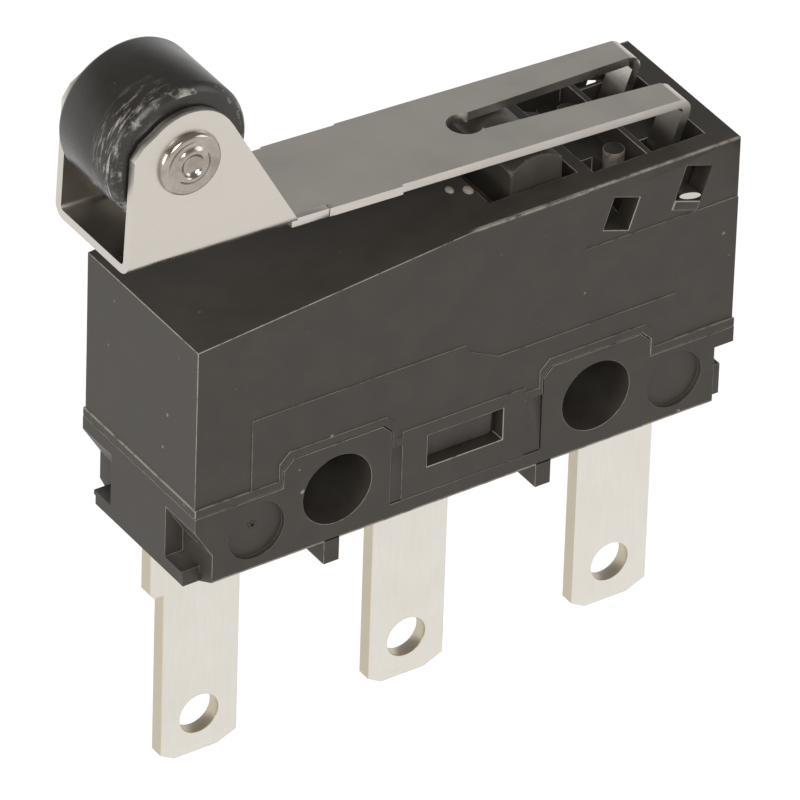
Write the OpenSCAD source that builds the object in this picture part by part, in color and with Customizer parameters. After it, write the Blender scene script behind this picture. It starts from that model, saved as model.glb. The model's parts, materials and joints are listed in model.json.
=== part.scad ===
// Subminiature lever micro switch with a roller lever and three push-on tabs.
// A two-part moulded housing holds a coil-spring snap mechanism; a folded sheet lever
// hooks into the cap and carries a roller.
// Frame: origin on the axis of the left mounting hole, halfway through the housing.
// +X runs along the housing towards the lever's pivot, +Y to the back, +Z up.

/* [Mounting holes] */
// Distance between the two mounting holes
hole_pitch = 9.5; // [9.3:0.1:9.9]
// Diameter of the mounting holes
hole_d = 2.5; // [2:0.05:3]

/* [Housing] */
// Length of the housing
body_l = 19.8; // [19.6:0.1:24]
// Thickness of the housing, front to back
body_w = 6.4; // [6.2:0.1:8]
// Height of the cap's flat top above the hole centres
cap_top = 7.8; // [7.6:0.1:9.6]
// How far the cap's top falls away at the roller end
slope_drop = 0.95; // [0.5:0.05:1.2]
// Length of the sloping part of the cap's top
slope_l = 10.1; // [9:0.1:11]
// Thickness of the cap's walls
wall_t = 0.8; // [0.7:0.05:1]
// Depth of the front and back faces below the hole centres
skirt_z = 1.8; // [1.7:0.05:2.2]
// Depth of the underside below the hole centres
foot_z = 2.2; // [2.1:0.02:2.6]
// Height of the seam above the hole centres at the ends of the housing
seam_z = 0.78; // [0.7:0.02:0.95]
// Height of the seam over the ears that hold the mounting holes
ear_top = 1.75; // [1.65:0.05:2.1]
// Half the width of each ear
ear_r = 2.0; // [1.9:0.05:2.4]
// Gap left at the seam between cap and base
seam_gap = 0.03; // [0.02:0.01:0.06]

/* [Terminals] */
// Distance between neighbouring terminals
tab_pitch = 7.68; // [7.5:0.02:7.9]
// Width of each push-on tab
tab_w = 2.8; // [2.3:0.1:3.4]
// Thickness of the terminal strip
tab_t = 0.5; // [0.4:0.02:0.6]
// Depth of the tabs' tips below the hole centres
tab_tip_z = 10.87; // [9:0.1:13.1]
// Diameter of the hole in each tab
tab_hole_d = 1.4; // [1.1:0.05:1.7]
// Distance from that hole's centre to the tip
tab_hole_up = 1.55; // [1.3:0.05:1.9]

/* [Lever] */
// Thickness of the lever sheet
sheet_t = 0.3; // [0.25:0.01:0.36]
// Width of the lever's blade
blade_w = 3.8; // [3.4:0.1:4]
// Height of the blade's underside above the pivot
blade_h = 2.6; // [2.5:0.05:3.2]
// Tilt of the lever at rest
rest_tilt = 2.7; // [2:0.1:4]
// Distance from the pivot to the plunger
plunger_arm = 5.0; // [4.8:0.1:5.2]
// Distance from the pivot to the roller's axle, along the blade
roller_arm = 18.0; // [17:0.1:21.6]
// Height of the roller's axle above the blade's underside
axle_h = 3.57; // [3.2:0.05:4.3]

/* [Roller] */
// Diameter of the roller
roller_d = 4.8; // [4:0.1:5.8]
// Width of the roller
roller_w = 3.3; // [3:0.1:3.4]
// Diameter of the roller's axle
axle_d = 1.5; // [1.2:0.05:1.8]

/* [Hidden] */
$fn = 64;
bite = 0.5;             // how far cutting shapes run past the faces they cut
fit_gap = 0.05;         // running clearance of parts that slide or turn
touch_gap = 0.03;       // gap between parts that touch but do not drive through each other

// Housing
mid_x = hole_pitch / 2;
left_x = mid_x - body_l / 2;
right_x = mid_x + body_l / 2;
face_y = body_w / 2;
kink_x = left_x + slope_l;
left_top = cap_top - slope_drop;
hole_xs = [0, hole_pitch];
face_step = 0.04;       // each slight step between the cap's face levels
wall_y = face_y - 2 * face_step;
cavity_y = face_y - wall_t;
cavity_x0 = left_x + wall_t;
cavity_x1 = right_x - wall_t;
ear_chamfer = 0.35;
band_h = 0.27;          // proud band along the cap's lower edge
foot_y = face_y - 0.7;
foot_inset = 0.06;
tongue_x0 = ear_r - 0.03;
tongue_x1 = hole_pitch - ear_r - 0.03;
tongue_t = 0.55;
tongue_z = -(skirt_z - 0.5);

// Lever
pivot_x = right_x - 1.85;
pivot_z = cap_top - 1.72;
plunger_x = pivot_x - plunger_arm;
axle_z = blade_h + axle_h;
bend_ri = 0.15;         // inside radius of the lever's folds
bend_ro = bend_ri + sheet_t;
foot_r = 0.36;          // rounded feet of the lever's legs, on the pivot's axis
cheek_gap = roller_w + 0.2;
cheek_y = cheek_gap / 2 + sheet_t;
cheek_r = 1.75;         // radius of the bracket's cheeks round the axle
cheek_front = roller_arm + 1.92;
cheek_rear_a = 58;      // slope of the cheeks' long edge

// Plunger and its well in the cap's top
well_floor = cap_top - 0.8;
rim_y = face_y - 0.85;
plunger_l = 1.9;
plunger_w = 2 * rim_y - 0.7;
plunger_nose_r = 1.4;
plunger_top = pivot_z + plunger_arm * sin(rest_tilt) + blade_h * cos(rest_tilt) - 0.06;
roof_z = well_floor - wall_t;
low_roof_z = pivot_z - 0.85;
wall_x = plunger_x + 1.4;   // cross wall behind the plunger's well
wall_l = 0.45;

// Mechanism
strip_z = ear_top - seam_gap;
strip_y = 1.15;
arm_t = 0.25;
com_x = mid_x + tab_pitch;
no_x = mid_x;
nc_x = mid_x - tab_pitch;
contact_x = nc_x + 1.33;
rocker_x = com_x - 0.03;
contact_h = 0.25;
contact_gap = 0.5;      // opening between the moving contact and the open one
arm_z = strip_z + tab_t + 2 * contact_h + arm_t / 2 + contact_gap + touch_gap;
seat_x = hole_pitch - 1.25;
rocker_t = 0.3;
rocker_z = low_roof_z - 0.62;
hook_x = seat_x + 1.6;
contact_d = 1.3;
closed_z = arm_z + arm_t / 2 + 2 * contact_h + touch_gap;
spring_x = contact_x + 2.9;   // hole in the contact arm for the spring
spring_end_z = arm_z + 0.15;  // hole in the rocker's hook for the spring

// ---------- helpers ----------

// Extrudes an outline drawn in X and Z from y0 to y1
module slab_y(y0, y1) {
    translate([0, y1, 0]) rotate([90, 0, 0]) linear_extrude(y1 - y0) children();
}

// Extrudes an outline drawn in Y and Z from x0 to x1
module slab_x(x0, x1) {
    translate([x0, 0, 0]) rotate([90, 0, 90]) linear_extrude(x1 - x0) children();
}

// A block between two corners
module block(a, b) {
    translate(a) cube(b - a);
}

// The same block in front and behind, mirrored about the middle plane
module block_pair(a, b) {
    block(a, b);
    mirror([0, 1, 0]) block(a, b);
}

// A round bar along Y
module bar_y(x, z, r, y0, y1) {
    translate([x, y1, z]) rotate([90, 0, 0]) cylinder(r = r, h = y1 - y0);
}

// A rectangle with rounded corners, centred on the origin
module soft_rect(w, h, r) {
    square([w - 2 * r, h], center = true);
    square([w, h - 2 * r], center = true);
    for (sx = [-1, 1], sy = [-1, 1]) {
        translate([sx * (w / 2 - r), sy * (h / 2 - r)]) circle(r);
    }
}

// Puts a shape drawn about the pivot into the lever's tilted frame
module lever_frame() {
    translate([pivot_x, 0, pivot_z]) rotate([0, rest_tilt, 0]) children();
}

// ---------- housing ----------

// Front outline of an ear, as wide as 2 * r, with chamfered top corners
module ear_outline(r, top) {
    polygon([[-r, -skirt_z], [-r, top - ear_chamfer], [-r + ear_chamfer, top],
             [r - ear_chamfer, top], [r, top - ear_chamfer], [r, -skirt_z]]);
}

// Recess in each corner of the base's roller end, with a slanted ceiling
module roller_end_notch() {
    notch_x = left_x + 0.65;
    shape = [[left_x - bite, 0.3], [left_x, 0.25], [notch_x, -0.82], [notch_x, -1.63],
             [left_x - bite, -1.63]];
    slab_y(-face_y - bite, -1.55) polygon(shape);
    block([left_x - bite, -face_y - bite, -foot_z - bite], [notch_x, -foot_y, -1.5]);
}

// Recess in each corner of the base's pivot end, with a level ceiling
module pivot_end_notch() {
    notch_x = right_x - 0.7;
    block([notch_x, -face_y - bite, -1.63], [right_x + bite, -1.55, 0.18]);
    block([notch_x, -face_y - bite, -foot_z - bite], [right_x + bite, -foot_y, -1.5]);
}

// Catch that snaps into the window of the cap's tongue
module catch_block() {
    catch_l = 2.35;
    catch_y = face_y - 0.1;
    translate([mid_x - 0.15 - catch_l / 2, 0, 0])
        slab_x(0, catch_l)
            polygon([[-cavity_y, -0.3], [-catch_y + 0.05, -0.3], [-catch_y, -0.2],
                     [-catch_y + 0.12, 0.8], [-cavity_y, 0.86]]);
}

module neck_slot(x0, x1) {
    block([x0 - 0.02, -tab_t / 2 - 0.02, -foot_z - bite], [x1 + 0.02, tab_t / 2 + 0.02, ear_top + bite]);
}

module housing_base() {
    floor_z = seam_z - seam_gap;
    peg_w = 0.56;
    spigot_z = seam_z + 0.55;
    color([0.20, 0.19, 0.17])
    difference() {
        union() {
            block([left_x, -face_y, -skirt_z], [right_x, face_y, floor_z]);
            block([left_x + foot_inset, -foot_y, -foot_z], [right_x - foot_inset, foot_y, 0]);
            block([cavity_x0 + fit_gap, -cavity_y + fit_gap, 0],
                  [cavity_x1 - fit_gap, cavity_y - fit_gap, spigot_z]);
            for (x = hole_xs) {
                translate([x, 0, 0])
                    slab_y(-face_y, face_y) ear_outline(ear_r - seam_gap, ear_top - seam_gap);
            }
            for (x = [nc_x + 2.78, no_x + 2.88]) {
                block_pair([x - peg_w / 2, -face_y, -skirt_z - 0.9], [x + peg_w / 2, -face_y + 1.4, 0]);
            }
        }
        for (x = hole_xs) {
            bar_y(x, 0, hole_d / 2, -face_y - bite, face_y + bite);
        }
        for (s = [0, 1]) mirror([0, s, 0]) {
            // room for the cap's tongue, leaving the catch
            difference() {
                block([tongue_x0 - seam_gap, -face_y - bite, tongue_z - seam_gap],
                      [tongue_x1 + seam_gap, -face_y + tongue_t + seam_gap, cap_top]);
                catch_block();
            }
            roller_end_notch();
            pivot_end_notch();
            // shallow ejector discs
            for (x = [left_x + 2.22, right_x - 2.22]) {
                bar_y(x, -0.45, 1.03, -face_y - bite, -face_y + 0.07);
            }
        }
        neck_slot(com_x - 0.8, com_x + 0.75);
        neck_slot(no_x - 0.95, no_x + 0.95);
        neck_slot(nc_x - 1.3, nc_x + 0.5);
        // hollow moulded under the strips, between the ears and the ends
        block([cavity_x0 + 0.6, -strip_y, 0.2], [-ear_r - 0.25, strip_y, ear_top]);
        block([ear_r + 0.4, -strip_y, 0.2], [hole_pitch - ear_r - 0.4, strip_y, ear_top]);
        block([hole_pitch + ear_r + 0.25, -strip_y, 0.2], [cavity_x1 - 0.5, strip_y, ear_top]);
    }
}

// A window in the cap's wall that the foot of a lever leg can hook into
module hook_window(x, z, sill) {
    window_tilt = 19;
    translate([x, 0, z]) rotate([0, window_tilt, 0])
        slab_y(-face_y - bite, -rim_y + bite) translate([-0.5, -sill]) square([1.0, sill + 0.575]);
}

window_z = pivot_z + 0.62;

module cap_face_levels() {
    // upper wall, with a faint recess round the hook windows cut later
    slab_y(-wall_y, wall_y)
        polygon([[left_x + face_step, seam_z], [left_x + face_step, left_top], [kink_x, cap_top],
                 [right_x - face_step, cap_top], [right_x - face_step, seam_z]]);
    // lower pad, one step prouder, with a jog near its middle
    pad_z = 3.63;
    pad_low = 2.78;
    pad_y = wall_y + face_step;
    slab_y(-pad_y, pad_y)
        polygon([[left_x + 2.05, seam_z], [left_x + 2.05, pad_z], [mid_x - 0.1, pad_z],
                 [mid_x, pad_z - 0.3], [mid_x + 1.1, pad_low], [right_x - 2.25, pad_low],
                 [right_x - 2.25, seam_z]]);
    // proud band along the lower edge and over the ears
    block([left_x, -face_y, seam_z], [right_x, face_y, seam_z + band_h]);
    intersection() {
        for (x = hole_xs) {
            translate([x, 0, 0]) slab_y(-face_y, face_y) ear_outline(ear_r + 0.12, ear_top + band_h);
        }
        block([left_x, -face_y, seam_z], [right_x, face_y, cap_top]);
    }
}

// Tongue that reaches down between the ears and snaps over the base's catch
module tongue() {
    pad_x0 = tongue_x0 + 0.4;
    pad_x1 = tongue_x1 - 0.6;
    difference() {
        union() {
            block([tongue_x0, -wall_y - face_step, tongue_z], [tongue_x1, -face_y + tongue_t, ear_top + 1]);
            block([pad_x0, -face_y, tongue_z], [pad_x1, -wall_y, 1.24]);
        }
        block([mid_x - 1.47, -face_y - bite, -0.4], [mid_x + 1.31, -cavity_y + bite, 0.9]);
    }
}

module lever_slots() {
    slot_y = 0.7;
    // slots for the lever's legs: spare pair near the plunger, used pair at the end
    block_pair([wall_x + wall_l, -rim_y, pivot_z - 0.3], [wall_x + wall_l + 1.1, -slot_y, cap_top + bite]);
    block_pair([pivot_x - 0.55, -rim_y, pivot_z - foot_r - touch_gap],
               [pivot_x + 0.95, -slot_y, cap_top + bite]);
    for (s = [0, 1]) mirror([0, s, 0]) {
        hook_window(pivot_x + 0.12, window_z, 0.64 + foot_r);
        hook_window(wall_x + wall_l + 0.6, window_z - 0.24, 0.575);
    }
}

module housing_cap() {
    color([0.24, 0.23, 0.21])
    difference() {
        union() {
            difference() {
                cap_face_levels();
                // cavity under a roof that follows the slope and drops under the wells
                slab_y(-cavity_y, cavity_y)
                    polygon([[cavity_x0, -bite], [cavity_x0, left_top - wall_t], [kink_x - 0.5, cap_top - 0.9],
                             [plunger_x - 2.2, cap_top - 0.9], [plunger_x - 2.2, roof_z],
                             [wall_x, roof_z], [wall_x, low_roof_z], [cavity_x1, low_roof_z],
                             [cavity_x1, -bite]]);
                // cut-outs for the ears, and the open underside
                for (x = hole_xs) {
                    translate([x, 0, 0])
                        slab_y(-face_y - bite, face_y + bite) ear_outline(ear_r, ear_top);
                }
            }
            for (s = [0, 1]) mirror([0, s, 0]) tongue();
        }
        // wells in the top
        block([plunger_x - 1.8, -rim_y + 0.25, well_floor], [wall_x, rim_y - 0.25, cap_top + bite]);
        block([wall_x + wall_l, -rim_y, well_floor], [wall_x + wall_l + 1.95, rim_y, cap_top + bite]);
        block([wall_x + wall_l + 2.15, -rim_y, well_floor], [right_x - 0.9, rim_y, cap_top + bite]);
        // hole for the plunger
        block([plunger_x - plunger_l / 2 - fit_gap, -plunger_w / 2 - fit_gap, roof_z - bite],
              [plunger_x + plunger_l / 2 + fit_gap, plunger_w / 2 + fit_gap, cap_top + bite]);
        lever_slots();
        // faint recess in the face round the hook windows
        for (s = [0, 1]) mirror([0, s, 0])
            block([wall_x - 0.25, -face_y - bite, window_z - 1.1], [right_x + bite, -wall_y + face_step, cap_top + bite]);
    }
    color([0.24, 0.23, 0.21])
    for (s = [0, 1]) mirror([0, s, 0]) moulded_boss();
}

// Round ejector boss that stands in the well behind the plunger
module moulded_boss() {
    translate([wall_x + wall_l + 1.5, -1.25, low_roof_z])
        cylinder(r = 0.48, h = cap_top - 0.3 - low_roof_z);
}

// ---------- plunger ----------

module plunger() {
    flange = 0.35;
    foot_low = rocker_z + rocker_t + touch_gap;
    foot_r = 0.45;
    color([0.30, 0.28, 0.25])
    union() {
        intersection() {
            block([plunger_x - plunger_l / 2, -plunger_w / 2, roof_z - 0.9],
                  [plunger_x + plunger_l / 2, plunger_w / 2, plunger_top]);
            union() {
                bar_y(plunger_x, plunger_top - plunger_nose_r, plunger_nose_r, -face_y, face_y);
                block([plunger_x - 2, -face_y, 0], [plunger_x + 2, face_y, plunger_top - plunger_nose_r]);
            }
        }
        block([plunger_x - plunger_l / 2 - flange, -plunger_w / 2, roof_z - 0.9],
              [plunger_x + plunger_l / 2 + flange, plunger_w / 2, roof_z - touch_gap]);
        bar_y(plunger_x, foot_low + foot_r, foot_r, -strip_y, strip_y);
    }
}

// ---------- lever and roller ----------

// Side outline of the bracket's cheeks, drawn about the pivot
module cheek_outline() {
    nx = cos(90 - cheek_rear_a);
    nz = sin(90 - cheek_rear_a);
    foot_run = (axle_h + cheek_r * nz) / tan(cheek_rear_a);
    top_a = 118;
    translate([-roller_arm, axle_z]) circle(cheek_r);
    polygon([[-cheek_front, blade_h], [-cheek_front, axle_z + 0.5], [-cheek_front + 0.27, axle_z + 0.95],
             [-roller_arm + cheek_r * cos(top_a), axle_z + cheek_r * sin(top_a)],
             [-roller_arm, axle_z],
             [-roller_arm + cheek_r * nx, axle_z + cheek_r * nz],
             [-roller_arm + cheek_r * nx + foot_run, blade_h]]);
}

// Cross-section of the folded channel
module channel_outline() {
    tall = 2 * roller_d;
    difference() {
        translate([0, blade_h + tall / 2]) soft_rect(2 * cheek_y, tall, bend_ro);
        translate([0, blade_h + sheet_t + tall / 2]) soft_rect(cheek_gap, tall, bend_ri);
        translate([-roller_d, blade_h + tall - bite - 1]) square([2 * roller_d, tall]);
    }
}

// Plan of the blade with its fork, drawn in X and Y about the pivot
module blade_plan() {
    half = blade_w / 2;
    shoulder_x = -roller_arm + 5.45;
    step_x = shoulder_x + 2.5;
    relief = half - 0.13;
    bulb_r = 0.58;
    bulb_x = -6.48;
    difference() {
        polygon([[-roller_arm + 3.6, -relief], [shoulder_x, -relief], [shoulder_x, -half - 0.1],
                 [step_x, -half - 0.1], [step_x, -half], [0.2, -half], [0.2, half],
                 [step_x, half], [step_x, half - 0.06], [shoulder_x - 0.2, half - 0.06],
                 [shoulder_x - 0.2, relief], [-roller_arm + 3.6, relief]]);
        translate([bulb_x, 0.05]) circle(bulb_r);
        polygon([[bulb_x + 0.4, -0.45], [bulb_x + 0.4, 0.55], [0.3, 0.86], [0.3, -0.8]]);
    }
}

// Side outline of one leg: fold at the fork's end, leg leaning back to its foot
module leg_outline() {
    lean = 17;
    turn = 90 + lean;
    cx = 0.15;
    cz = blade_h - bend_ri;
    difference() {
        translate([cx, cz]) circle(bend_ro);
        translate([cx, cz]) circle(bend_ri);
        polygon([[cx, cz], [cx, cz + 1], [cx - 1, cz + 1], [cx - 1, cz - 1.5],
                 [cx + 1.5 * cos(90 - turn), cz + 1.5 * sin(90 - turn)]]);
    }
    // straight leg from the fold's end down to the foot
    translate([cx, cz]) rotate(-lean)
        translate([bend_ri, -2.3]) square([sheet_t, 2.31]);
}

// Rounded foot at a leg's end, which rocks on the sill of its window
module leg_foot(y0, y1) {
    slab_y(y0, y1) circle(foot_r);
}

module roller_lever() {
    leg_y0 = -blade_w / 2;
    color([0.72, 0.70, 0.66])
    difference() {
        lever_frame() {
            translate([0, 0, blade_h]) linear_extrude(sheet_t) blade_plan();
            intersection() {
                slab_x(-cheek_front, -roller_arm + 4.4) channel_outline();
                slab_y(-cheek_y, cheek_y) cheek_outline();
            }
            for (s = [0, 1]) mirror([0, s, 0]) {
                slab_y(leg_y0, -0.85) leg_outline();
                leg_foot(-face_y + 0.12, -0.95);
            }
        }
        lever_frame() bar_y(-roller_arm, axle_z, axle_d / 2, -face_y, face_y);
    }
}

module roller() {
    rim = 0.28;
    color([0.13, 0.12, 0.11])
    lever_frame() translate([-roller_arm, 0, axle_z]) rotate([90, 0, 0])
        rotate_extrude()
            polygon([[axle_d / 2 + fit_gap, -roller_w / 2], [roller_d / 2 - rim, -roller_w / 2],
                     [roller_d / 2, -roller_w / 2 + rim], [roller_d / 2, roller_w / 2 - rim],
                     [roller_d / 2 - rim, roller_w / 2], [axle_d / 2 + fit_gap, roller_w / 2]]);
}

module roller_rivet() {
    r = axle_d / 2;
    head_r = r + 0.35;
    head_h = 0.3;
    tail_h = 0.22;
    color([0.80, 0.78, 0.74])
    lever_frame() translate([-roller_arm, 0, axle_z]) rotate([90, 0, 0])
        rotate_extrude()
            polygon([[0, -cheek_y - tail_h], [r, -cheek_y - tail_h], [head_r - 0.1, -cheek_y - 0.08],
                     [head_r - 0.1, -cheek_y], [r, -cheek_y], [r, cheek_y], [head_r, cheek_y],
                     [head_r, cheek_y + 0.12], [head_r - 0.18, cheek_y + head_h],
                     [0.6, cheek_y + head_h], [0.5, cheek_y + head_h - 0.1],
                     [0, cheek_y + head_h - 0.1]]);
}

// ---------- terminals ----------

// A push-on tab hanging below the housing, with chamfered corners, tip and hole
module tab(x) {
    tip_h = 0.43;
    tip_w = 0.6;
    thin = 0.14;
    difference() {
        intersection() {
            translate([x, 0, 0]) slab_y(-tab_t / 2, tab_t / 2)
                polygon([[-tab_w / 2, -foot_z], [-tab_w / 2, -tab_tip_z + tip_h],
                         [-tab_w / 2 + tip_w, -tab_tip_z], [tab_w / 2 - tip_w, -tab_tip_z],
                         [tab_w / 2, -tab_tip_z + tip_h], [tab_w / 2, -foot_z]]);
            slab_x(x - tab_w, x + tab_w)
                polygon([[-tab_t / 2, 0], [-tab_t / 2, -tab_tip_z + tip_h], [-tab_t / 2 + thin, -tab_tip_z],
                         [tab_t / 2 - thin, -tab_tip_z], [tab_t / 2, -tab_tip_z + tip_h], [tab_t / 2, 0]]);
        }
        bar_y(x, -tab_tip_z + tab_hole_up, tab_hole_d / 2, -tab_t, tab_t);
    }
}

module neck(x0, x1, top) {
    block([x0, -tab_t / 2, -foot_z], [x1, tab_t / 2, top]);
}

// The common terminal bridges the pivot-side ear and carries both knife seats
module terminal_common() {
    bridge_x1 = com_x + 0.75;
    seat_l = 0.42;
    seat_top = arm_z + 0.2;
    post_top = rocker_z + rocker_t + 0.18;
    seat_r = 0.16;
    color([0.80, 0.76, 0.66])
    difference() {
        union() {
            tab(com_x);
            neck(com_x - 0.8, bridge_x1, strip_z + tab_t);
            block([seat_x, -strip_y, strip_z], [bridge_x1, strip_y, strip_z + tab_t]);
            block_pair([seat_x, -strip_y, strip_z], [seat_x + seat_l, -0.6, seat_top]);
            block([rocker_x, -strip_y, strip_z], [rocker_x + tab_t, strip_y, post_top]);
        }
        bar_y(seat_x, arm_z, seat_r, -face_y, face_y);
        bar_y(rocker_x, rocker_z + rocker_t / 2, rocker_t / 2 + 0.03, -face_y, face_y);
    }
}

// The normally open terminal runs along the floor to the lower contact
module terminal_normally_open() {
    color([0.80, 0.76, 0.66])
    difference() {
        union() {
            tab(no_x);
            neck(no_x - 0.95, no_x + 0.95, strip_z + tab_t);
            block([contact_x - 0.85, -strip_y, strip_z], [no_x + 0.95, strip_y, strip_z + tab_t]);
        }
        translate([contact_x, 0, strip_z - bite]) cylinder(d = contact_d / 2, h = tab_t + 2 * bite);
    }
}

// The normally closed terminal stands at the end wall and reaches over the contacts
module terminal_normally_closed() {
    post_x0 = nc_x - 1.3;
    color([0.80, 0.76, 0.66])
    difference() {
        union() {
            tab(nc_x);
            // wide shoulder below the housing
            slab_y(-tab_t / 2, tab_t / 2)
                polygon([[nc_x - tab_w / 2 - 0.5, -foot_z], [nc_x - tab_w / 2 - 0.5, -4.05],
                         [nc_x - tab_w / 2 - 0.3, -4.28], [nc_x, -4.28], [nc_x, -foot_z]]);
            neck(post_x0, nc_x + 0.5, seam_z);
            neck(post_x0, post_x0 + 0.9, closed_z + tab_t);
            block([post_x0, -strip_y, closed_z], [contact_x + 0.85, strip_y, closed_z + tab_t]);
        }
        translate([contact_x, 0, closed_z - bite]) cylinder(d = contact_d / 2, h = tab_t + 2 * bite);
    }
}

// ---------- contacts and snap mechanism ----------

// A contact rivet: domed head at z = 0 pointing up, shank down through the strip
module contact_rivet(shank) {
    crown = 0.06;
    rotate_extrude()
        polygon([[0, -shank], [contact_d / 4, -shank], [contact_d / 4, 0], [contact_d / 2, 0],
                 [contact_d / 2, contact_h - crown], [contact_d / 2 - 0.12, contact_h], [0, contact_h]]);
}

module fixed_contact_open() {
    color([0.85, 0.84, 0.82])
    translate([contact_x, 0, strip_z + tab_t]) contact_rivet(tab_t);
}

module fixed_contact_closed() {
    color([0.85, 0.84, 0.82])
    translate([contact_x, 0, closed_z]) mirror([0, 0, 1]) contact_rivet(tab_t);
}

// The arm that carries the moving contact: forked at its knife end, open for the spring
module contact_arm() {
    tip_x = contact_x - 0.85;
    end_x = seat_x - touch_gap;
    window_y = 0.6;
    color([0.78, 0.60, 0.36])
    translate([0, 0, arm_z - arm_t / 2])
    difference() {
        union() {
            linear_extrude(arm_t)
                polygon([[tip_x, -0.75], [contact_x + 1, -0.75], [contact_x + 2.6, -strip_y],
                         [end_x, -strip_y], [end_x, strip_y], [contact_x + 2.6, strip_y],
                         [contact_x + 1, 0.75], [tip_x, 0.75]]);
            bar_y(end_x, arm_t / 2, arm_t / 2, -strip_y, strip_y);
        }
        block([spring_x + 0.6, -window_y, -bite], [end_x + bite, window_y, arm_t + bite]);
        translate([contact_x, 0, -bite]) cylinder(d = contact_d / 2, h = arm_t + 2 * bite);
        translate([spring_x, 0, -bite]) cylinder(d = 0.44, h = arm_t + 2 * bite);
    }
}

module moving_contact() {
    color([0.85, 0.84, 0.82])
    translate([contact_x, 0, arm_z]) {
        translate([0, 0, arm_t / 2]) contact_rivet(arm_t);
        translate([0, 0, -arm_t / 2]) mirror([0, 0, 1]) contact_rivet(0.01);
    }
}

// The rocker passes the plunger's stroke to the spring's anchored end
module rocker() {
    tip_x = plunger_x - 0.9;
    end_x = rocker_x - touch_gap;
    hook_z = spring_end_z - 0.35;
    color([0.74, 0.73, 0.70])
    difference() {
        union() {
            block([tip_x, -strip_y, rocker_z], [end_x, strip_y, rocker_z + rocker_t]);
            bar_y(end_x, rocker_z + rocker_t / 2, rocker_t / 2, -strip_y, strip_y);
            block([hook_x, -0.35, hook_z], [hook_x + 0.3, 0.35, rocker_z]);
        }
        translate([hook_x - bite, 0, spring_end_z]) rotate([0, 90, 0]) cylinder(d = 0.34, h = 2);
    }
}

// Points along the spring's wire: end hooks and a close coil between them
wire_d = 0.14;
coil_r = 0.34;
coil_turns = 18;
steps_per_turn = 12;
coil_margin = 1.1;
spring_run = hook_x - spring_x;
coil_l = spring_run - 2 * coil_margin;
spring_tilt = atan2(spring_end_z - arm_z, spring_run);

coil_n = coil_turns * steps_per_turn;
function coil_point(i) = [coil_margin + coil_l * i / coil_n, coil_r * sin(360 * i / steps_per_turn),
                          coil_r * cos(360 * i / steps_per_turn)];
spring_path = concat([[0, 0, -0.3], [0, 0, 0.1], [0.15, 0, coil_r - 0.06], [0.55, 0, coil_r]],
                     [for (i = [0 : coil_n]) coil_point(i)],
                     [[spring_run - 0.5, 0, coil_r], [spring_run - 0.2, 0, 0.1],
                      [spring_run - 0.05, 0, 0], [spring_run + 0.55, 0, 0]]);
wire_sides = 6;

function unit(v) = v / norm(v);
function path_dir(p, i) = unit(p[min(i + 1, len(p) - 1)] - p[max(i - 1, 0)]);
function ring(p, i) =
    let (t = path_dir(p, i), side = unit(cross(t, abs(t[1]) > 0.9 ? [0, 0, 1] : [0, 1, 0])), up = cross(side, t))
    [for (k = [0 : wire_sides - 1])
        p[i] + wire_d / 2 * (cos(360 * k / wire_sides) * side + sin(360 * k / wire_sides) * up)];

module wire(p) {
    n = len(p);
    points = [for (i = [0 : n - 1]) for (q = ring(p, i)) q];
    sides = [for (i = [0 : n - 2], k = [0 : wire_sides - 1])
             let (a = i * wire_sides + k, b = i * wire_sides + (k + 1) % wire_sides)
             [a, b, b + wire_sides, a + wire_sides]];
    ends = [[for (k = [wire_sides - 1 : -1 : 0]) k],
            [for (k = [0 : wire_sides - 1]) (n - 1) * wire_sides + k]];
    polyhedron(points, concat(sides, ends));
}

module tension_spring() {
    color([0.66, 0.65, 0.63])
    translate([spring_x, 0, arm_z]) rotate([0, -spring_tilt, 0]) wire(spring_path);
}

housing_base();
housing_cap();
plunger();
roller_lever();
roller();
roller_rivet();
terminal_common();
terminal_normally_open();
terminal_normally_closed();
fixed_contact_open();
fixed_contact_closed();
contact_arm();
moving_contact();
rocker();
tension_spring();
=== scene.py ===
import json
import math

import bmesh
import bpy
from mathutils import Matrix, Vector


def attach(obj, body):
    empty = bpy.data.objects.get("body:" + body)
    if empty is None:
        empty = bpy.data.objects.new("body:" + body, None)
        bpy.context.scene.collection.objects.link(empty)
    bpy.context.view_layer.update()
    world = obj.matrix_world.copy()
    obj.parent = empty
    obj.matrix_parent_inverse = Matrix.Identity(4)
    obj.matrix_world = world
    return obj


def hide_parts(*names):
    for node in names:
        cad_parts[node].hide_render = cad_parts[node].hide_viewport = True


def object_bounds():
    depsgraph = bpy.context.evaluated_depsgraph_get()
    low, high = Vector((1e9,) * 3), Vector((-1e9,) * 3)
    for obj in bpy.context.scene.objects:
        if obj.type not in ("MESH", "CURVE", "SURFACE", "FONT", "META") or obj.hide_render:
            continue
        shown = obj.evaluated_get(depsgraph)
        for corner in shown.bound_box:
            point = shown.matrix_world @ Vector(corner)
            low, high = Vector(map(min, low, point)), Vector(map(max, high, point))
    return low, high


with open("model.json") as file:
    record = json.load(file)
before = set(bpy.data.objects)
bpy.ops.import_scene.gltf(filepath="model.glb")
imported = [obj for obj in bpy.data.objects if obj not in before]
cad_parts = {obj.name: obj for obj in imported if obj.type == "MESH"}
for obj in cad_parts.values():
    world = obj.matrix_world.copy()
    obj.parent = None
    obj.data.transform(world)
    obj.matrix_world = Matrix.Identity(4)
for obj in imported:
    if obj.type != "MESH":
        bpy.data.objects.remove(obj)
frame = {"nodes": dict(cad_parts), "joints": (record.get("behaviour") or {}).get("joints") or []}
cad_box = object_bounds()
MM = 0.001


# ---------- meshes ----------

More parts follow.
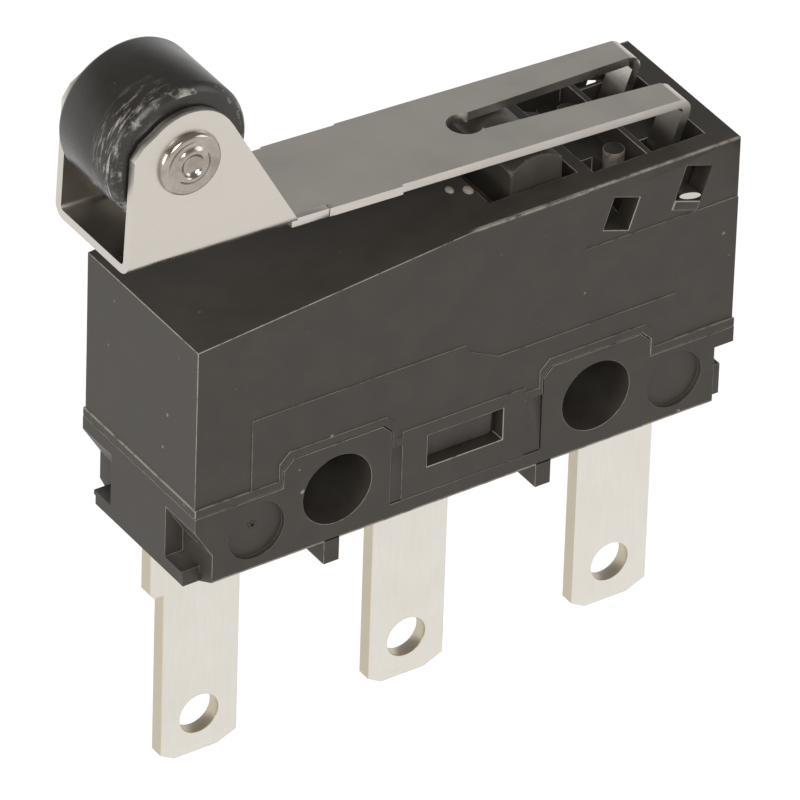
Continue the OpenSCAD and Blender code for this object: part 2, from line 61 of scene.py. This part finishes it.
def finish_mesh(name, bm, body, material, smooth_angle=32):
    """Turns a bmesh in millimetres into an object at the origin that rides on a body."""
    bmesh.ops.scale(bm, vec=(MM, MM, MM), verts=bm.verts)
    mesh = bpy.data.meshes.new(name)
    bm.to_mesh(mesh)
    bm.free()
    for face in mesh.polygons:
        face.use_smooth = True
    mesh.set_sharp_from_angle(angle=math.radians(smooth_angle))
    piece = bpy.data.objects.new(name, mesh)
    bpy.context.scene.collection.objects.link(piece)
    mesh.materials.append(material)
    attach(piece, body)
    return piece


def merged_node(node):
    """A CAD node's shape in millimetres, with its triangles merged into flat faces."""
    bm = bmesh.new()
    bm.from_mesh(frame["nodes"][node].data)
    bmesh.ops.scale(bm, vec=(1 / MM, 1 / MM, 1 / MM), verts=bm.verts)
    bmesh.ops.remove_doubles(bm, verts=bm.verts, dist=0.0005)
    bmesh.ops.dissolve_limit(bm, angle_limit=math.radians(0.6), verts=bm.verts, edges=bm.edges,
                             use_dissolve_boundaries=False)
    bm.faces.layers.float.new("edge")
    return bm


def room_beside(edge):
    """Length of the shortest edge that a rounding of this edge would slide along."""
    shortest = 99.0
    for vert in edge.verts:
        along = (edge.other_vert(vert).co - vert.co).normalized()
        for other in vert.link_edges:
            if other is edge:
                continue
            turn = (other.other_vert(vert).co - vert.co).normalized().dot(along)
            if turn > -0.8:
                shortest = min(shortest, other.calc_length())
    return shortest


def round_edges(bm, width, sharp=28, segments=2, wear_and_highlight=1.0):
    """Rounds the sharp edges that have room for it and marks the rounding in the face attribute 'edge'."""
    mark = bm.faces.layers.float["edge"]
    edges = [e for e in bm.edges
             if len(e.link_faces) == 2 and e.calc_face_angle(0) > math.radians(sharp)
             and all(f[mark] == 0.0 for f in e.link_faces) and room_beside(e) > 2.4 * width]
    made = bmesh.ops.bevel(bm, geom=edges, offset=width, offset_type="OFFSET", segments=segments,
                           profile=0.5, affect="EDGES", clamp_overlap=True, material=-1)
    # The marked rounding gets the pale edge colour: wear, and a painted highlight along the edge.
    for face in made["faces"]:
        face[mark] = wear_and_highlight


def mark_ledges(bm, thickness, wear_and_highlight):
    """Marks faces that are only narrow ledges for the pale edge colour: dust, and a painted highlight where they
    catch the light.
    """
    mark = bm.faces.layers.float["edge"]
    for face in bm.faces:
        if face[mark] == 0.0 and 2 * face.calc_area() / face.calc_perimeter() < thickness:
            face[mark] = wear_and_highlight


def weighted_normals(piece):
    flat = piece.modifiers.new("flat_faces", "WEIGHTED_NORMAL")
    flat.mode = "FACE_AREA"
    flat.weight = 90
    flat.keep_sharp = True


def shown_for(piece, node):
    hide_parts(node)
    return piece


def rounded_copy(node, body, material, widths, ledge=0.0):
    """Shows a CAD node with its sharp edges rounded, widest first where there is room."""
    bm = merged_node(node)
    for width in widths:
        round_edges(bm, width)
    if ledge:
        mark_ledges(bm, ledge, 0.8)
    piece = finish_mesh(node + "_rounded", bm, body, material)
    weighted_normals(piece)
    return shown_for(piece, node)


def lathe(name, profile, centre, body, material, steps=96):
    """Turns a profile of (radius, distance along Y) about an axis through centre."""
    bm = bmesh.new()
    verts = [bm.verts.new((radius, along, 0)) for radius, along in profile]
    edges = [bm.edges.new(pair) for pair in zip(verts, verts[1:])]
    bmesh.ops.spin(bm, geom=verts + edges, cent=(0, 0, 0), axis=(0, 1, 0), angle=math.tau,
                   steps=steps, use_merge=True)
    bmesh.ops.remove_doubles(bm, verts=bm.verts, dist=0.0005)
    bmesh.ops.recalc_face_normals(bm, faces=bm.faces)
    bmesh.ops.translate(bm, vec=centre, verts=bm.verts)
    bm.faces.layers.float.new("edge")
    return bm


def mark_between(bm, test, wear_and_highlight=1.0):
    mark = bm.faces.layers.float["edge"]
    for face in bm.faces:
        if test(face.calc_center_median()):
            face[mark] = wear_and_highlight


def small_block(bm, low, high):
    """Adds a block between two corners, in millimetres, to bm."""
    made = bmesh.ops.create_cube(bm, size=1.0)["verts"]
    low, high = Vector(low), Vector(high)
    bmesh.ops.scale(bm, vec=high - low, verts=made)
    bmesh.ops.translate(bm, vec=(low + high) / 2, verts=made)
    return made


# ---------- node groups ----------

def node_group(name, inputs, outputs):
    group = bpy.data.node_groups.new(name, "ShaderNodeTree")
    for label, kind, value in inputs:
        socket = group.interface.new_socket(label, in_out="INPUT", socket_type=kind)
        if value is not None:
            socket.default_value = value
    for label, kind in outputs:
        group.interface.new_socket(label, in_out="OUTPUT", socket_type=kind)
    return group, group.nodes.new("NodeGroupInput"), group.nodes.new("NodeGroupOutput")


def add(tree, kind, **settings):
    """Adds a node; settings are its properties, or its input values where the key is a socket."""
    node = tree.nodes.new(kind)
    for key, value in settings.items():
        if hasattr(node, key):
            setattr(node, key, value)
        else:
            node.inputs[key.replace("_", " ")].default_value = value
    return node


def maths(tree, operation, a, b=None, c=None, clamp=False):
    node = tree.nodes.new("ShaderNodeMath")
    node.operation = operation
    node.use_clamp = clamp
    for index, value in enumerate((a, b, c)):
        if value is None:
            continue
        if isinstance(value, (int, float)):
            node.inputs[index].default_value = value
        else:
            tree.links.new(value, node.inputs[index])
    return node.outputs[0]


def noise(tree, vector, scale, detail=3.0, roughness=0.55, stretch=None):
    """Noise in cycles per millimetre; stretch makes it longer along an axis."""
    if stretch:
        mapping = tree.nodes.new("ShaderNodeMapping")
        mapping.inputs["Scale"].default_value = stretch
        tree.links.new(vector, mapping.inputs["Vector"])
        vector = mapping.outputs[0]
    node = tree.nodes.new("ShaderNodeTexNoise")
    node.inputs["Detail"].default_value = detail
    node.inputs["Roughness"].default_value = roughness
    tree.links.new(vector, node.inputs["Vector"])
    if isinstance(scale, (int, float)):
        node.inputs["Scale"].default_value = scale
    else:
        tree.links.new(scale, node.inputs["Scale"])
    return node.outputs["Fac"]


def remap(tree, value, low, high, to_low=0.0, to_high=1.0):
    node = tree.nodes.new("ShaderNodeMapRange")
    node.clamp = True
    tree.links.new(value, node.inputs["Value"])
    for key, number in (("From Min", low), ("From Max", high), ("To Min", to_low), ("To Max", to_high)):
        node.inputs[key].default_value = number
    return node.outputs["Result"]


def make_wear_and_highlight_group():
    """Broken-up pale colour along the rounded edges: wear, and a painted highlight where the edges catch the light.
    """
    group, source, out = node_group(
        "EdgeWearAndHighlight",
        [("Vector", "NodeSocketVector", None), ("Edge", "NodeSocketFloat", 0.0),
         ("Scale", "NodeSocketFloat", 2.0), ("Cover", "NodeSocketFloat", 0.5)],
        [("Mask", "NodeSocketFloat")])
    broad = noise(group, source.outputs["Vector"], source.outputs["Scale"], detail=4.0, roughness=0.7)
    lift = maths(group, "ADD", broad, source.outputs["Cover"])
    mask = remap(group, lift, 0.95, 1.15)
    mask = maths(group, "MULTIPLY", mask, source.outputs["Edge"], clamp=True)
    group.links.new(mask, out.inputs["Mask"])
    return group


def make_grain_group():
    """Fine moulded grain, soft mottling and pale scuffs."""
    group, source, out = node_group(
        "MouldedGrain",
        [("Vector", "NodeSocketVector", None), ("Grain Scale", "NodeSocketFloat", 9.0)],
        [("Height", "NodeSocketFloat"), ("Mottle", "NodeSocketFloat"), ("Scuff", "NodeSocketFloat"),
         ("Speck", "NodeSocketFloat")])
    vector = source.outputs["Vector"]
    fine = noise(group, vector, source.outputs["Grain Scale"], detail=4.0, roughness=0.65)
    group.links.new(fine, out.inputs["Height"])
    group.links.new(noise(group, vector, 0.9, detail=5.0, roughness=0.6), out.inputs["Mottle"])
    scuff = noise(group, vector, 3.1, detail=6.0, roughness=0.75)
    group.links.new(remap(group, scuff, 0.66, 0.76), out.inputs["Scuff"])
    cells = add(group, "ShaderNodeTexVoronoi", Scale=0.85)
    warped = maths(group, "MULTIPLY_ADD", noise(group, vector, 7.0), 0.12, cells.outputs["Distance"])
    group.links.new(vector, cells.inputs["Vector"])
    shade = group.nodes.new("ShaderNodeSeparateColor")
    group.links.new(cells.outputs["Color"], shade.inputs[0])
    speck = maths(group, "MULTIPLY", remap(group, warped, 0.085, 0.12, 1.0, 0.0),
                  remap(group, shade.outputs[0], 0.6, 0.65))
    group.links.new(speck, out.inputs["Speck"])
    return group


def make_brush_group():
    """Rolling lines along one axis of a metal sheet, with faint smudges."""
    group, source, out = node_group(
        "RolledLines",
        [("Vector", "NodeSocketVector", None), ("Stretch", "NodeSocketVector", (0.12, 6.0, 6.0))],
        [("Lines", "NodeSocketFloat"), ("Smudge", "NodeSocketFloat")])
    scaled = group.nodes.new("ShaderNodeVectorMath")
    scaled.operation = "MULTIPLY"
    group.links.new(source.outputs["Vector"], scaled.inputs[0])
    group.links.new(source.outputs["Stretch"], scaled.inputs[1])
    lines = noise(group, scaled.outputs[0], 3.0, detail=4.0, roughness=0.7)
    group.links.new(lines, out.inputs["Lines"])
    group.links.new(noise(group, source.outputs["Vector"], 0.55, detail=4.0, roughness=0.55), out.inputs["Smudge"])
    return group


edge_wear_and_highlight = make_wear_and_highlight_group()
moulded_grain = make_grain_group()
rolled_lines = make_brush_group()


# ---------- materials ----------

def material_start(name):
    material = bpy.data.materials.new(name)
    material.use_nodes = True
    tree = material.node_tree
    shader = tree.nodes["Principled BSDF"]
    coords = tree.nodes.new("ShaderNodeTexCoord")
    to_mm = tree.nodes.new("ShaderNodeMapping")
    to_mm.inputs["Scale"].default_value = (1 / MM, 1 / MM, 1 / MM)
    tree.links.new(coords.outputs["Object"], to_mm.inputs["Vector"])
    return material, tree, shader, to_mm.outputs[0]


def use_group(tree, group, vector, **values):
    node = tree.nodes.new("ShaderNodeGroup")
    node.node_tree = group
    tree.links.new(vector, node.inputs["Vector"])
    for key, value in values.items():
        socket = node.inputs[key.replace("_", " ")]
        if isinstance(value, (int, float, tuple)):
            socket.default_value = value
        else:
            tree.links.new(value, socket)
    return node.outputs


def edge_mask(tree):
    attribute = tree.nodes.new("ShaderNodeAttribute")
    attribute.attribute_name = "edge"
    return attribute.outputs["Fac"]


def mix_colour(tree, factor, a, b):
    node = tree.nodes.new("ShaderNodeMix")
    node.data_type = "RGBA"
    if isinstance(factor, (int, float)):
        node.inputs["Factor"].default_value = factor
    else:
        tree.links.new(factor, node.inputs["Factor"])
    for socket, value in ((node.inputs[6], a), (node.inputs[7], b)):
        if isinstance(value, tuple):
            socket.default_value = value + (1.0,)
        else:
            tree.links.new(value, socket)
    return node.outputs[2]


def bump(tree, shader, height, distance, strength=1.0):
    node = tree.nodes.new("ShaderNodeBump")
    node.inputs["Distance"].default_value = distance
    node.inputs["Strength"].default_value = strength
    tree.links.new(height, node.inputs["Height"])
    tree.links.new(node.outputs["Normal"], shader.inputs["Normal"])


def moulded_plastic(name, dark, pale, wear_and_highlight_colour, rough=0.5, cover=0.5, grain=9.0, depth=0.000006, specks=0.8, streaks=None,
                    gloss=0.38):
    material, tree, shader, vector = material_start(name)
    shader.inputs["Specular IOR Level"].default_value = gloss
    grained = use_group(tree, moulded_grain, vector, Grain_Scale=grain)
    colour = mix_colour(tree, remap(tree, grained["Mottle"], 0.3, 0.7), dark, pale)
    scuff = maths(tree, "MULTIPLY", grained["Scuff"], 0.3)
    scuff = maths(tree, "ADD", scuff, maths(tree, "MULTIPLY", grained["Speck"], specks), clamp=True)
    colour = mix_colour(tree, scuff, colour, wear_and_highlight_colour)
    # Pale colour on marked edges, ledges and domes: wear, and a painted highlight.
    wear_and_highlight = use_group(tree, edge_wear_and_highlight, vector, Edge=edge_mask(tree), Cover=cover)["Mask"]
    colour = mix_colour(tree, wear_and_highlight, colour, wear_and_highlight_colour)
    if streaks:
        colour = mix_colour(tree, streaks(tree, vector), colour, wear_and_highlight_colour)
    tree.links.new(colour, shader.inputs["Base Color"])
    tree.links.new(remap(tree, grained["Mottle"], 0.25, 0.75, rough - 0.06, rough + 0.08), shader.inputs["Roughness"])
    bump(tree, shader, grained["Height"], depth)
    return material


def rubbed_and_lit_rim(tree, vector):
    """Pale streaks round the roller, near its front rim and strongest on its left side: rubbing where it meets the
    cam, and a painted rim highlight along that side.
    """
    split = tree.nodes.new("ShaderNodeSeparateXYZ")
    tree.links.new(vector, split.inputs[0])
    lines = noise(tree, vector, 1.6, detail=5.0, roughness=0.75, stretch=(0.8, 5.0, 0.8))
    mask = maths(tree, "MULTIPLY", remap(tree, lines, 0.53, 0.62), remap(tree, split.outputs["Y"], -0.3, -1.1))
    mask = maths(tree, "MULTIPLY", mask, remap(tree, split.outputs["Y"], -1.6, -1.45))
    return maths(tree, "MULTIPLY", mask, remap(tree, split.outputs["X"], -5.0, -6.4, 0.0, 0.8))


def rubbed_and_lit_top_edge(tree, vector):
    """Broken pale line along the cap's top edges, beside the lever's fork: rubbing, and a painted highlight along the
    edge.
    """
    split = tree.nodes.new("ShaderNodeSeparateXYZ")
    tree.links.new(vector, split.inputs[0])
    side = maths(tree, "ABSOLUTE", split.outputs["Y"])
    mask = maths(tree, "MULTIPLY", remap(tree, side, 3.0, 3.04), remap(tree, split.outputs["Z"], 7.70, 7.76))
    mask = maths(tree, "MULTIPLY", mask, remap(tree, split.outputs["X"], 4.6, 4.95))
    broken = noise(tree, vector, 2.6, detail=5.0, roughness=0.75)
    return maths(tree, "MULTIPLY", mask, remap(tree, broken, 0.36, 0.55, 0.1, 0.85))


def cut_faces(tree):
    """1 on faces that point away from the sheet's front and back."""
    geometry = tree.nodes.new("ShaderNodeNewGeometry")
    split = tree.nodes.new("ShaderNodeSeparateXYZ")
    tree.links.new(geometry.outputs["Normal"], split.inputs[0])
    return remap(tree, maths(tree, "ABSOLUTE", split.outputs["Y"]), 0.55, 0.75, 1.0, 0.0)


def sheet_metal(name, low, high, wear_and_highlight_colour, rough=0.3, stretch=(0.12, 6.0, 6.0), cover=0.9, depth=0.000002, cut=None):
    material, tree, shader, vector = material_start(name)
    shader.inputs["Metallic"].default_value = 1.0
    lines = use_group(tree, rolled_lines, vector, Stretch=stretch)
    blend = maths(tree, "MULTIPLY_ADD", lines["Lines"], 0.5, maths(tree, "MULTIPLY", lines["Smudge"], 0.5))
    colour = mix_colour(tree, remap(tree, blend, 0.35, 0.65), low, high)
    # Edge colour on marked edges: wear, and where the edge colour is paler than the metal, a painted highlight.
    wear_and_highlight = use_group(tree, edge_wear_and_highlight, vector, Edge=edge_mask(tree), Cover=cover, Scale=1.5)["Mask"]
    colour = mix_colour(tree, wear_and_highlight, colour, wear_and_highlight_colour)
    if cut:
        colour = mix_colour(tree, cut_faces(tree), colour, cut)
    tree.links.new(colour, shader.inputs["Base Color"])
    tree.links.new(remap(tree, lines["Smudge"], 0.3, 0.7, rough - 0.05, rough + 0.1), shader.inputs["Roughness"])
    bump(tree, shader, lines["Lines"], depth)
    return material


# The third colour of each finish marks its edges: wear, and where it is paler than the finish, a painted highlight.
housing_plastic = moulded_plastic("housing_plastic", (0.0365, 0.0315, 0.025), (0.0525, 0.0445, 0.0365),
                                  (0.34, 0.30, 0.255), cover=0.66, streaks=rubbed_and_lit_top_edge)
plunger_plastic = moulded_plastic("plunger_plastic", (0.044, 0.037, 0.030), (0.062, 0.053, 0.043),
                                  (0.2, 0.18, 0.15), rough=0.42, cover=0.4)
roller_plastic = moulded_plastic("roller_plastic", (0.021, 0.018, 0.014), (0.031, 0.027, 0.022),
                                 (0.46, 0.43, 0.39), rough=0.26, cover=0.42, grain=5.0, depth=0.000003,
                                 specks=0.3, streaks=rubbed_and_lit_rim, gloss=0.45)
lever_steel = sheet_metal("lever_steel", (0.655, 0.61, 0.55), (0.69, 0.645, 0.583), (0.97, 0.94, 0.89),
                          depth=0.000001)
rivet_steel = sheet_metal("rivet_steel", (0.33, 0.29, 0.25), (0.52, 0.48, 0.43), (0.92, 0.9, 0.87), rough=0.13,
                          stretch=(1.0, 1.0, 1.0))
tab_plating = sheet_metal("tab_plating", (0.765, 0.73, 0.66), (0.82, 0.785, 0.72), (0.72, 0.63, 0.46), rough=0.32,
                          stretch=(3.0, 3.0, 0.3), depth=0.000001, cut=(0.60, 0.53, 0.42))
contact_silver = sheet_metal("contact_silver", (0.75, 0.74, 0.72), (0.88, 0.87, 0.85), (0.95, 0.94, 0.92), rough=0.25)
spring_copper = sheet_metal("spring_copper", (0.60, 0.38, 0.20), (0.72, 0.48, 0.27), (0.85, 0.65, 0.45), rough=0.3)
spring_steel = sheet_metal("spring_steel", (0.45, 0.44, 0.42), (0.6, 0.59, 0.57), (0.8, 0.79, 0.77), rough=0.28)

# ---------- places taken from the model ----------

joints = {joint["name"]: joint for joint in frame["joints"]}
pivot = Vector(joints["lever_press"]["pos_m"]) / MM
axle = Vector(joints["roller_spin"]["pos_m"]) / MM
front = cad_box[0][1] / MM
lever_tilt = Matrix.Rotation(math.radians(2.7), 4, "Y")


def in_lever(bm, verts=None):
    """Moves a shape drawn about the pivot into the lever's tilted place."""
    bmesh.ops.transform(bm, matrix=Matrix.Translation(pivot) @ lever_tilt, verts=verts or bm.verts)


# ---------- housing ----------

def moulded_base():
    bm = merged_node("housing_base")
    for vert in bm.verts:
        x, y, z = vert.co
        if abs(y) > 3.0 and 3.3 < x < 5.9 and -0.35 < z < 0.9 and abs(y) < 3.17:
            vert.co.y -= math.copysign(0.22, y)     # catch set back in its window
        for centre in (-2.93, 12.43):
            if abs(y) < 3.17 and abs(y) > 3.1 and math.hypot(x - centre, z + 0.45) < 1.1:
                vert.co.y -= math.copysign(0.09, y)     # floor of the round recess
    for side in (-1, 1):
        wedge = small_block(bm, (-4.5, -3.2, -2.2), (13.95, -2.5, -1.8))
        for vert in wedge:
            if vert.co.y < -3 and vert.co.z < -2:
                vert.co.z = -1.85
        lip = small_block(bm, (13.8, -2.62, -2.12), (14.6, -1.95, -1.0))
        for vert in wedge + lip:
            vert.co.y *= -side
    bmesh.ops.recalc_face_normals(bm, faces=bm.faces)
    for width in (0.08, 0.035, 0.015):
        round_edges(bm, width)
    mark_ledges(bm, 0.05, 0.8)
    piece = finish_mesh("housing_base_rounded", bm, "switch", housing_plastic)
    weighted_normals(piece)
    shown_for(piece, "housing_base")


def moulded_cap():
    bm = merged_node("housing_cap")
    boss = Vector((11.15, 1.25))
    for vert in bm.verts:
        off = Vector((vert.co.x, abs(vert.co.y))) - boss
        if off.length < 0.5:        # slimmer ejector boss
            vert.co.x = boss.x + 0.72 * off.x
            vert.co.y = math.copysign(boss.y + 0.72 * off.y, vert.co.y)
    for width in (0.08, 0.035, 0.015):
        round_edges(bm, width)
    mark_ledges(bm, 0.05, 0.8)
    piece = finish_mesh("housing_cap_rounded", bm, "switch", housing_plastic)
    weighted_normals(piece)
    shown_for(piece, "housing_cap")


def window_sills():
    """Plastic under the lever's feet in their windows, and a rib behind each of these windows."""
    bm = bmesh.new()
    for side in (-1, 1):
        block = small_block(bm, (-0.5, -3.11, -0.99), (0.5, -2.3, -0.655))
        rib = small_block(bm, (11.95, 2.05, 5.6), (14.0, 2.2, 7.4))
        for vert in rib:
            vert.co.y *= side
        turn = Matrix.Translation((12.92, 0, 6.70)) @ Matrix.Rotation(math.radians(19), 4, "Y")
        bmesh.ops.transform(bm, matrix=turn, verts=block)
        for vert in block:
            vert.co.y *= -side
    bmesh.ops.recalc_face_normals(bm, faces=bm.faces)
    bm.faces.layers.float.new("edge")
    round_edges(bm, 0.03)
    piece = finish_mesh("window_sills", bm, "switch", housing_plastic)


def moulding_nubs():
    """Two small moulded domes beside the plunger's well, painted pale for their highlight, and a gate mark in the
    left round recess.
    """
    bm = bmesh.new()
    for x, y, size in ((5.32, -0.92, 0.16), (5.8, -1.22, 0.19)):
        dome = bmesh.ops.create_uvsphere(bm, u_segments=20, v_segments=12, radius=size)["verts"]
        bmesh.ops.scale(bm, vec=(0.8, 1.1, 0.7), verts=dome)
        bmesh.ops.translate(bm, vec=(x, y, 7.8), verts=dome)
    for turn, length in ((0.5, 0.36), (1.6, 0.30), (2.6, 0.33)):
        bar = small_block(bm, (-length / 2, -0.03, -0.035), (length / 2, 0.03, 0.035))
        place = Matrix.Translation((-2.98, front + 0.17, -0.32)) @ Matrix.Rotation(turn, 4, "Y")
        bmesh.ops.transform(bm, matrix=place, verts=bar)
    bm.faces.layers.float.new("edge")
    # The domes get the pale edge colour, a painted highlight on them.
    mark_between(bm, lambda c: c.z > 7, 0.9)
    piece = finish_mesh("moulding_nubs", bm, "switch", housing_plastic)


# ---------- lever, roller and rivet ----------

def folded_lever():
    bm = merged_node("roller_lever")
    for vert in bm.verts:
        x, y, z = vert.co
        if abs(y) > 3.0 and (vert.co - Vector((pivot.x, y, pivot.z))).length < 0.5:
            flat = Matrix.Rotation(math.radians(16), 3, "Y") @ Vector(((x - pivot.x) * 1.15, 0, (z - pivot.z) * 0.32))
            vert.co = Vector((pivot.x + flat.x, y, pivot.z + 0.15 + flat.z))
    nub = small_block(bm, (-14.05, -1.985, 2.605), (-12.72, -1.5, 2.897))
    nub += small_block(bm, (-12.69, -1.995, 2.602), (-12.3, -1.5, 2.899))
    in_lever(bm, nub)
    for width in (0.05, 0.02):
        round_edges(bm, width)
    piece = finish_mesh("roller_lever_rounded", bm, "lever", lever_steel)
    weighted_normals(piece)
    shown_for(piece, "roller_lever")


def turned_roller():
    profile = [(0.80, -1.65), (2.10, -1.65), (2.17, -1.63), (2.36, -1.44), (2.397, -1.34), (2.397, 1.34),
               (2.36, 1.44), (2.17, 1.63), (2.10, 1.65), (0.80, 1.65), (0.80, -1.65)]
    bm = lathe("roller", profile, (axle.x, 0, axle.z), "roller", roller_plastic, steps=128)
    # The roller's chamfers get the pale edge colour: wear, and a painted highlight on the rims.
    mark_between(bm, lambda c: abs(c.y) > 1.4 and math.hypot(c.x - axle.x, c.z - axle.z) > 2.12, 1.0)
    shown_for(finish_mesh("roller_turned", bm, "roller", roller_plastic), "roller")


def headed_rivet():
    cheek = 2.05
    profile = [(0, -cheek - 0.10), (0.22, -cheek - 0.11), (0.33, -cheek - 0.15), (0.38, -cheek - 0.23),
               (0.43, -cheek - 0.285), (0.49, -cheek - 0.30), (0.55, -cheek - 0.28), (0.61, -cheek - 0.22),
               (0.68, -cheek - 0.17), (0.75, -cheek - 0.165), (0.83, -cheek - 0.20), (0.90, -cheek - 0.225),
               (0.97, -cheek - 0.21), (1.03, -cheek - 0.16), (1.07, -cheek - 0.08), (1.08, -cheek),
               (0.75, -cheek), (0.75, cheek), (1.0, cheek),
               (0.99, cheek + 0.10), (0.90, cheek + 0.18), (0.75, cheek + 0.21), (0.40, cheek + 0.22),
               (0.32, cheek + 0.16), (0, cheek + 0.14)]
    bm = lathe("rivet", profile, (axle.x, 0, axle.z), "lever", rivet_steel, steps=72)
    shown_for(finish_mesh("roller_rivet_headed", bm, "lever", rivet_steel, 50), "roller_rivet")


moulded_base()
moulded_cap()
window_sills()
moulding_nubs()
rounded_copy("plunger", "plunger", plunger_plastic, (0.08, 0.03))
folded_lever()
turned_roller()
headed_rivet()
for tab in ("terminal_common", "terminal_normally_open", "terminal_normally_closed"):
    rounded_copy(tab, "switch", tab_plating, (0.04, 0.02))
rounded_copy("contact_arm", "blade", spring_copper, (0.02,))
rounded_copy("rocker", "rocker", spring_steel, (0.02,))

for node, finish in (("fixed_contact_open", contact_silver), ("fixed_contact_closed", contact_silver),
                     ("moving_contact", contact_silver), ("tension_spring", spring_steel)):
    mesh = frame["nodes"][node].data
    mesh.materials.clear()
    mesh.materials.append(finish)

# ---------- studio ----------

def studio_floor():
    bm = bmesh.new()
    bmesh.ops.create_grid(bm, x_segments=1, y_segments=1, size=2500)
    bmesh.ops.translate(bm, vec=(0, 0, cad_box[0][2] / MM - 0.02), verts=bm.verts)
    bmesh.ops.scale(bm, vec=(MM, MM, MM), verts=bm.verts)
    mesh = bpy.data.meshes.new("studio_floor")
    bm.to_mesh(mesh)
    bm.free()
    floor = bpy.data.objects.new("studio_floor", mesh)
    bpy.context.scene.collection.objects.link(floor)
    material = bpy.data.materials.new("white_floor")
    material.use_nodes = True
    tree = material.node_tree
    shader = tree.nodes["Principled BSDF"]
    shader.inputs["Base Color"].default_value = (0.9, 0.9, 0.9, 1.0)
    shader.inputs["Roughness"].default_value = 0.9
    glow = tree.nodes.new("ShaderNodeEmission")
    path = tree.nodes.new("ShaderNodeLightPath")
    tree.links.new(maths(tree, "MULTIPLY_ADD", path.outputs["Is Camera Ray"], 0.14, 1.0), glow.inputs["Strength"])
    seen = maths(tree, "ADD", path.outputs["Is Camera Ray"], path.outputs["Is Glossy Ray"])
    seen = maths(tree, "ADD", seen, path.outputs["Is Transmission Ray"], clamp=True)
    mix = tree.nodes.new("ShaderNodeMixShader")
    tree.links.new(maths(tree, "MULTIPLY", seen, 0.85), mix.inputs["Fac"])
    tree.links.new(shader.outputs[0], mix.inputs[1])
    tree.links.new(glow.outputs[0], mix.inputs[2])
    tree.links.new(mix.outputs[0], tree.nodes["Material Output"].inputs["Surface"])
    mesh.materials.append(material)


def soft_light(name, spot, target, size, power):
    lamp = bpy.data.lights.new(name, "AREA")
    lamp.shape = "SQUARE"
    lamp.size = size
    lamp.energy = power
    holder = bpy.data.objects.new(name, lamp)
    holder.location = spot
    holder.rotation_euler = (Vector(target) - Vector(spot)).to_track_quat("-Z", "Y").to_euler()
    bpy.context.scene.collection.objects.link(holder)


def studio_world():
    world = bpy.data.worlds.new("studio")
    bpy.context.scene.world = world
    world.use_nodes = True
    tree = world.node_tree
    sky = tree.nodes["Background"]
    coords = tree.nodes.new("ShaderNodeTexCoord")
    split = tree.nodes.new("ShaderNodeSeparateXYZ")
    tree.links.new(coords.outputs["Generated"], split.inputs[0])
    level = remap(tree, split.outputs["Z"], 0.02, 0.5, 1.0, 0.295)
    path = tree.nodes.new("ShaderNodeLightPath")
    level = maths(tree, "MAXIMUM", level, path.outputs["Is Camera Ray"])
    tree.links.new(level, sky.inputs["Color"])
    sky.inputs["Strength"].default_value = 1.0


def photo_camera():
    azimuth, tilt, roll = math.radians(34.40), math.radians(35.49), math.radians(1.93)
    ahead = Vector((math.sin(azimuth) * math.cos(tilt), math.cos(azimuth) * math.cos(tilt), -math.sin(tilt)))
    right = ahead.cross(Vector((0, 0, 1))).normalized()
    up = right.cross(ahead)
    side = right * math.cos(roll) + up * math.sin(roll)
    head = up * math.cos(roll) - right * math.sin(roll)
    spot = Vector((4.75, 0, 3.0)) - side * 0.39 - head * 2.75 - ahead * 353.7
    camera = bpy.data.cameras.new("camera")
    camera.sensor_width = 36
    camera.lens = 518.9
    camera.clip_start = 0.01
    camera.clip_end = 20
    holder = bpy.data.objects.new("camera", camera)
    turn = Matrix((side, head, -ahead)).transposed().to_4x4()
    holder.matrix_world = Matrix.Translation(spot * MM) @ turn
    bpy.context.scene.collection.objects.link(holder)
    bpy.context.scene.camera = holder


studio_floor()
studio_world()
soft_light("key", (-0.25, -0.55, 0.45), (0.004, 0, 0), 0.35, 2.2)
soft_light("fill", (0.5, -0.35, 0.25), (0.004, 0, 0), 0.3, 0.5)
soft_light("side", (-0.5, -0.02, 0.12), (0.004, 0, 0), 0.25, 1.0)
photo_camera()
bpy.context.scene.view_settings.view_transform = "Standard"
